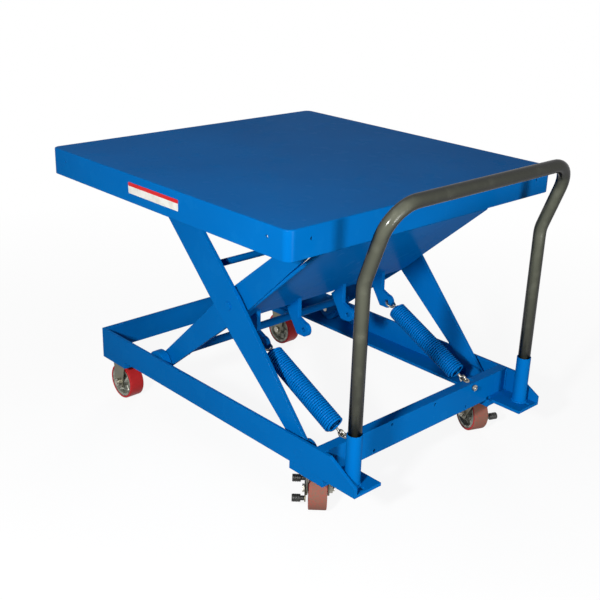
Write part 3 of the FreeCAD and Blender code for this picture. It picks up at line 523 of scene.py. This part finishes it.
def wheelCore(centre, axis):
    # Turned section from the bore out to the tread, with ribs: on the web the surface stands out by
    # ribHeight times a narrow bump in angle, max(0, cos(ribs * v)) to the power 8.
    s = wheelShape
    half, web = s["width"] / 2 - 0.4, s["web"] / 2
    boss, bossHalf, rim = s["boss"], s["bossHalf"], s["rimInner"]
    side = [(s["bore"], bossHalf), (boss - 1.5, bossHalf), (boss, bossHalf - 1.5),
            (boss + 0.6, web + 3.0), (boss + 3.0, web + 0.4), (boss + 8, web),
            (rim - 8, web), (rim - 3.0, web + 0.4), (rim - 0.6, web + 3.0),
            (rim, half - 1.2), (rim + 1.2, half), (s["treadInner"] - 0.1, half)]
    profile = side + [(r, -y) for r, y in side[::-1]]
    points = turned(np.array(profile) * mm, centre, axis, s["segments"])
    turn = np.linspace(0, 2 * np.pi, s["segments"], endpoint=False)
    bump = np.maximum(0, np.cos(s["ribs"] * turn)) ** 8 * s["ribHeight"] * mm
    onWeb = np.array([boss + 0.5 < r < rim - 0.5 and abs(y) < web + 3.5 for r, y in profile], float)
    facing = np.sign([y for _, y in profile])
    direction = unit(np.array(axis, float))
    points += (onWeb * facing)[:, None, None] * bump[None, :, None] * direction
    return gridObject("core", points, closeU=True, closeV=True)


def wheelTread(centre, axis, dust):
    # Turned ring whose shoulders are quarter circles of radius edge and whose face is flat.
    s = wheelShape
    half, edge = s["width"] / 2, s["edge"]
    shoulder = np.linspace(0, np.pi / 2, 7)
    top = s["radius"] - edge
    right = np.stack([top + edge * np.sin(shoulder), half - edge + edge * np.cos(shoulder)], axis=1)
    middle = np.linspace(half - edge, edge - half, 7)[1:-1]
    face = np.stack([np.full(5, s["radius"]), middle], axis=1)
    left = right[::-1] * [1, -1]
    inner = np.array([[s["treadInner"], -half], [s["treadInner"], half]])
    profile = np.concatenate([right, face, left, inner])
    points = turned(profile * mm, centre, axis, s["segments"])
    thing = gridObject("tread", points, closeU=True, closeV=True)
    onFace = np.repeat((profile[:, 0] > top + 0.7 * edge) * dust, s["segments"])
    thing.data.attributes.new("runFace", "FLOAT", "POINT").data.foreach_set("value", onFace)
    return thing


for end in ("rear", "front"):
    for side in sides:
        joint = joints[end + "_wheel_spin_" + side]
        body = end + "_wheel_" + side
        core = wheelCore(joint["pos_m"], joint["axis"])
        core.name = "castCore_" + end + "_" + side
        dressed(core, finishes["cast_hub"], body, "cast_hub", end + "_hub_" + side)
        tread = wheelTread(joint["pos_m"], joint["axis"], wheelShape["dust"][end])
        tread.name = "tread_" + end + "_" + side
        dressed(tread, finishes["red_polyurethane"], body, "red_polyurethane",
                end + "_tread_" + side)


# Lock pedals: a ribbed toe pad at each end of the rocker plate.

print("pads")
padShape = {"radius": 9.5, "length": 30.0, "plateFace": 31.3, "halfSpan": 29.5, "tilt": 20.0,
            "ribs": 7, "groove": 1.1, "edge": 1.5, "neckLength": 9.0, "neckShare": 0.62}


def pedalPad(side, end):
    # Turned bar: the radius drops by groove times (1 - |cos(ribs * pi * share)|) to the power 3
    # between the ribs, by a quarter circle at each end, and to a share of itself at the neck.
    s = padShape
    joint = joints["pedal_rock_" + side]
    axis = unit(np.array(joint["axis"], float))
    trail = np.cross(axis, [0, 0, 1.0])
    tilt = math.radians(s["tilt"])
    slope = math.cos(tilt) * trail + np.array([0, 0, math.sin(tilt)])
    outward = axis * -sides[side]
    offset = (end * s["halfSpan"] * slope + s["plateFace"] * outward) * mm
    centre = np.array(joint["pos_m"]) + offset
    share = np.linspace(0, 1, 85)
    along = share * s["length"]
    toEnd = np.minimum(np.minimum(along, s["length"] - along) / s["edge"], 1)
    groove = s["groove"] * (1 - np.abs(np.cos(s["ribs"] * np.pi * share))) ** 3
    radius = s["radius"] - groove - s["edge"] * (1 - np.sqrt(1 - (1 - toEnd) ** 2))
    radius = radius * np.where(along < s["neckLength"], s["neckShare"], 1.0)
    profile = np.stack([radius, along], axis=1)
    return gridObject("pad", turned(profile * mm, centre, outward, 48), closeV=True, capEnds=True)


for side in sides:
    pads = joined("pedalPads_" + side, [pedalPad(side, end) for end in (-1, 1)])
    dressed(pads, finishes["black_pad"], "pedal_" + side, "black_pad", "pedal_pads_" + side)


# Weld beads where the brackets, sockets, lugs and rods are fixed to the frames.

print("welds")
weldShape = {"radius": 2.6, "ripple": 0.35, "rippleMm": 4.0, "step": 1.0, "sides": 8,
             "lugY": (-252, -115, 45, 198), "lugHalf": 6.0, "lugLength": 52.0,
             "socketRadius": 18.1, "railWall": 8.0, "railLift": 10.0, "memberDrop": 4.0,
             "seamDrop": 31.0, "seamRadius": 4.0, "seamEnd": 6.0}


def weldBead(points, size=weldShape["radius"]):
    # A round bead along the path whose radius swells and shrinks with the stacked ripples:
    # radius * (1 + ripple * |sin(pi * distance / rippleMm)|).
    s = weldShape
    points = np.array(points, float)
    lengths = np.linalg.norm(np.diff(points, axis=0), axis=1)
    reach = np.concatenate([[0], np.cumsum(lengths)])
    count = max(int(reach[-1] / (s["step"] * mm)), 4)
    distance = np.linspace(0, reach[-1], count)
    path = np.stack([np.interp(distance, reach, points[:, k]) for k in range(3)], axis=1)
    swell = np.abs(np.sin(np.pi * distance / (s["rippleMm"] * mm)))
    radius = size * mm * (1 + s["ripple"] * swell)
    # The reference only has to differ from the direction of every bead.
    reference = np.array([0.31, 0.22, 0.93])
    tube = tubeAlong(path, reference, radius, s["sides"])
    return gridObject("bead", tube, closeV=True, capEnds=True)


def ringPath(centre, axis, radius, steps=40):
    # Circle: p(v) = centre + radius * (cos v * e1 + sin v * e2), with e1 and e2 across the axis.
    axis = unit(np.array(axis, float))
    e1 = unit(np.cross(axis, [0.1, 0.2, 1.0]))
    e2 = np.cross(axis, e1)
    turn = np.linspace(0, 2 * np.pi, steps)[:, None]
    return np.array(centre) + radius * (np.cos(turn) * e1 + np.sin(turn) * e2)


def baseWelds():
    # A ring round each socket's foot, and an upright bead in each corner where a cross member meets
    # a rail's web: both faces of the front member, and the inner face of the rear one.
    s = weldShape
    beads = []
    for side, sign in sides.items():
        low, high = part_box("handle_socket_" + side)
        foot = ((low.x + high.x) / 2, (low.y + high.y) / 2, low.z + 0.4 * mm)
        beads.append(weldBead(ringPath(foot, (0, 0, 1), s["socketRadius"] * mm)))
        railLow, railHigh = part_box("rail_" + side)
        web = (railLow.y if sign < 0 else railHigh.y) - sign * s["railWall"] * mm
        low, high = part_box("front_cross_member")
        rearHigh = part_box("rear_cross_member")[1]
        bottom = railLow.z + s["railLift"] * mm
        for x, top in ((high.x, high.z), (low.x, high.z), (rearHigh.x, rearHigh.z)):
            beads.append(weldBead([(x, web, bottom), (x, web, top - s["memberDrop"] * mm)]))
    return joined("weldBeadsBase", beads)


def lugWelds():
    # Two beads under the torque plate at each lug, along the plate's underside, and a heavier seam
    # between each inner leg and the plate's edge, as far along as the plate goes.
    s = weldShape
    plateLow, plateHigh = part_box("torque_plate")
    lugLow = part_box("spring_lugs")[0]
    pin = np.array(joints["centre_pivot"]["pos_m"])
    hinge = np.array(joints["deck_hinge"]["pos_m"])
    along = unit(np.array([hinge[0] - pin[0], 0, hinge[2] - pin[2]]))
    start = np.array([plateLow.x, 0, plateLow.z])
    setIn = (lugLow.x - plateLow.x) / along[0] if lugLow.x > plateLow.x else 4 * mm
    beads = []
    for y in s["lugY"]:
        for face in (-1, 1):
            begin = start + np.array([0, y + face * s["lugHalf"], 0]) * mm + along * setIn
            beads.append(weldBead([begin, begin + along * s["lugLength"] * mm]))
    up = np.array([-along[2], 0, along[0]])
    foot = pin - along * (pin @ along) - up * s["seamDrop"] * mm
    seamLow = start @ along + s["seamEnd"] * mm
    seamHigh = np.array([plateHigh.x, 0, plateHigh.z]) @ along - s["seamEnd"] * mm
    for y in (plateLow.y, plateHigh.y):
        ends = [foot + along * reach + np.array([0, y, 0]) for reach in (seamLow, seamHigh)]
        beads.append(weldBead(ends, s["seamRadius"]))
    return joined("weldBeadsLugs", beads)


def rodWelds(name, node, legBody):
    # A ring round each end of a spreader rod, against the leg.
    low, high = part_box(node)
    centre = (low + high) / 2
    radius = (high.z - low.z) / 2 + 0.5 * mm
    beads = [weldBead(ringPath((centre.x, y, centre.z), (0, 1, 0), radius))
             for y in (low.y + mm, high.y - mm)]
    return dressed(joined(name, beads), finishes["blue_powder_coat"], legBody, "blue_powder_coat")


dressed(baseWelds(), finishes["blue_powder_coat"], "base", "blue_powder_coat")
dressed(lugWelds(), finishes["blue_powder_coat"], "inner_frame", "blue_powder_coat")
rodWelds("weldBeadsOuterRod", "outer_spreader_rod", "outer_frame")
rodWelds("weldBeadsInnerRod", "inner_spreader_rod", "inner_frame")


# Plain two-colour strip on the left skirt, with nothing printed on it.

print("strip")
stripShape = {"setback": 364.5, "length": 197.5, "drop": 18.5, "height": 27.0, "thick": 0.08,
              "corner": 2.5}


def skirtStrip():
    # A thin rounded rectangle on the left skirt: quarter circles at its corners, straight between.
    s = {name: value * mm for name, value in stripShape.items()}
    low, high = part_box("deck_pan")
    highX, highZ = high.x - s["setback"], high.z - s["drop"]
    lowX, lowZ = highX - s["length"], highZ - s["height"]
    corner = np.linspace(0, np.pi / 2, 6)
    cx = np.array([highX, lowX, lowX, highX]) + np.array([-1, 1, 1, -1]) * s["corner"]
    cz = np.array([highZ, highZ, lowZ, lowZ]) + np.array([-1, -1, 1, 1]) * s["corner"]
    angle = (corner[None, :] + (np.arange(4) * np.pi / 2)[:, None]).ravel()
    outlineX = np.repeat(cx, 6) + s["corner"] * np.cos(angle)
    outlineZ = np.repeat(cz, 6) + s["corner"] * np.sin(angle)
    layers = [np.stack([outlineX, np.full(24, y), outlineZ], axis=1)
              for y in (low.y - s["thick"], low.y)]
    strip = gridObject("skirtStrip", np.array(layers), closeV=True, capEnds=True)
    strip.data.shade_flat()
    material = vinylStrip((lowZ + highZ) / 2, (highZ - lowZ) / 2)
    return dressed(strip, material, "deck", "blue_powder_coat")


skirtStrip()


# Floor, light and camera.

print("stage")
stageShape = {"floorSize": 40.0, "worldStrength": 0.08, "whiteNear": 0.90, "nearRadius": 0.9,
              "farRadius": 2.4}
lampShapes = {
    "keyLamp": {"azimuth": 28.0, "elevation": 22.0, "distance": 2.7, "size": 0.20, "power": 66.0},
    "topLamp": {"azimuth": -30.0, "elevation": 72.0, "distance": 3.0, "size": 1.6, "power": 12.0},
    "lowLamp": {"azimuth": 82.0, "elevation": -1.0, "distance": 2.6, "size": 0.5, "power": 31.0},
    "backLamp": {"azimuth": 222.0, "elevation": 12.0, "distance": 3.4, "size": 1.2, "power": 44.0},
}


def seenDirectly(tree):
    # 1 for camera, mirror and see-through rays, so that white shows there and adds no light
    # elsewhere.
    path = addNode(tree, "LightPath")
    glossy = addNode(tree, "Math", {"operation": "MAXIMUM"},
                     {0: path.outputs["Is Camera Ray"], 1: path.outputs["Is Glossy Ray"]})
    seen = addNode(tree, "Math", {"operation": "MAXIMUM"},
                   {0: glossy.outputs["Value"], 1: path.outputs["Is Transmission Ray"]})
    return seen.outputs["Value"]


def paleFloor():
    # White to the eye: near the table a share of its light comes from the lamps, so that the shadow
    # shows, and further out it fades to the white of the background.
    stage = stageShape
    size = stage["floorSize"] / 2
    corners = np.array([[[-size, -size, 0], [size, -size, 0]], [[-size, size, 0], [size, size, 0]]])
    floor = gridObject("floor", corners)
    material = bpy.data.materials.new("paleFloor")
    material.use_nodes = True
    tree = material.node_tree
    tree.nodes.clear()
    seen = seenDirectly(tree)
    colour = mixColour(tree, seen, linearColour("8C8C8A"), linearColour("FFFFFF"))
    matt = addNode(tree, "BsdfDiffuse", inputs={"Color": colour})
    glow = addNode(tree, "Emission", inputs={"Color": linearColour("FFFFFF"), "Strength": 1.0})
    place = addNode(tree, "TexCoord").outputs["Object"]
    away = addNode(tree, "VectorMath", {"operation": "LENGTH"}, {0: place}).outputs["Value"]
    share = spread(tree, away, stage["nearRadius"], stage["farRadius"], stage["whiteNear"], 1.0)
    amount = addNode(tree, "Math", {"operation": "MULTIPLY"}, {0: seen, 1: share})
    mixed = addNode(tree, "MixShader", inputs={0: amount.outputs["Value"], 1: matt.outputs["BSDF"],
                                               2: glow.outputs["Emission"]})
    addNode(tree, "OutputMaterial", inputs={"Surface": mixed.outputs["Shader"]})
    floor.data.materials.append(material)


def whiteWorld():
    world = bpy.data.worlds.new("studio")
    bpy.context.scene.world = world
    world.use_nodes = True
    tree = world.node_tree
    tree.nodes.clear()
    strength = spread(tree, seenDirectly(tree), 0.0, 1.0, stageShape["worldStrength"], 1.0)
    light = addNode(tree, "Background",
                    inputs={"Color": linearColour("FFFFFF"), "Strength": strength})
    addNode(tree, "OutputWorld", inputs={"Surface": light.outputs["Background"]})


def towards(azimuth, elevation):
    # Unit direction from the table out to a camera or lamp at these angles, in degrees.
    a, e = math.radians(azimuth), math.radians(elevation)
    return Vector((math.sin(a) * math.cos(e), -math.cos(a) * math.cos(e), math.sin(e)))


def areaLamp(name, shape):
    lamp = bpy.data.lights.new(name, "AREA")
    lamp.energy = shape["power"]
    lamp.size = shape["size"]
    thing = bpy.data.objects.new(name, lamp)
    bpy.context.scene.collection.objects.link(thing)
    back = towards(shape["azimuth"], shape["elevation"])
    low, high = cadBounds
    thing.location = (low + high) / 2 + back * shape["distance"]
    thing.rotation_mode = "QUATERNION"
    thing.rotation_quaternion = (-back).to_track_quat("-Z", "Y")
    thing.visible_camera = False
    return thing


def mainCamera():
    view = {"place": (1.71810, -1.69197, 1.31402), "azimuth": 46.4707, "elevation": 21.5447,
            "roll": 1.8419, "lens": 58.306}
    roll = math.radians(view["roll"])
    back = towards(view["azimuth"], view["elevation"])
    right = (-back).cross(Vector((0, 0, 1))).normalized()
    up = right.cross(-back)
    tiltedRight = right * math.cos(roll) + up * math.sin(roll)
    tiltedUp = up * math.cos(roll) - right * math.sin(roll)
    camera = bpy.data.objects.new("camera", bpy.data.cameras.new("camera"))
    bpy.context.scene.collection.objects.link(camera)
    camera.data.lens = view["lens"]
    camera.data.sensor_width = 36.0
    turn = Matrix((tiltedRight, tiltedUp, back)).transposed().to_4x4()
    camera.matrix_world = Matrix.Translation(view["place"]) @ turn
    camera.data.clip_end = 100
    bpy.context.scene.camera = camera


paleFloor()
whiteWorld()
lamps = {name: areaLamp(name, shape) for name, shape in lampShapes.items()}
lamps["backLamp"].visible_glossy = False
mainCamera()
bpy.context.scene.view_settings.view_transform = "Standard"
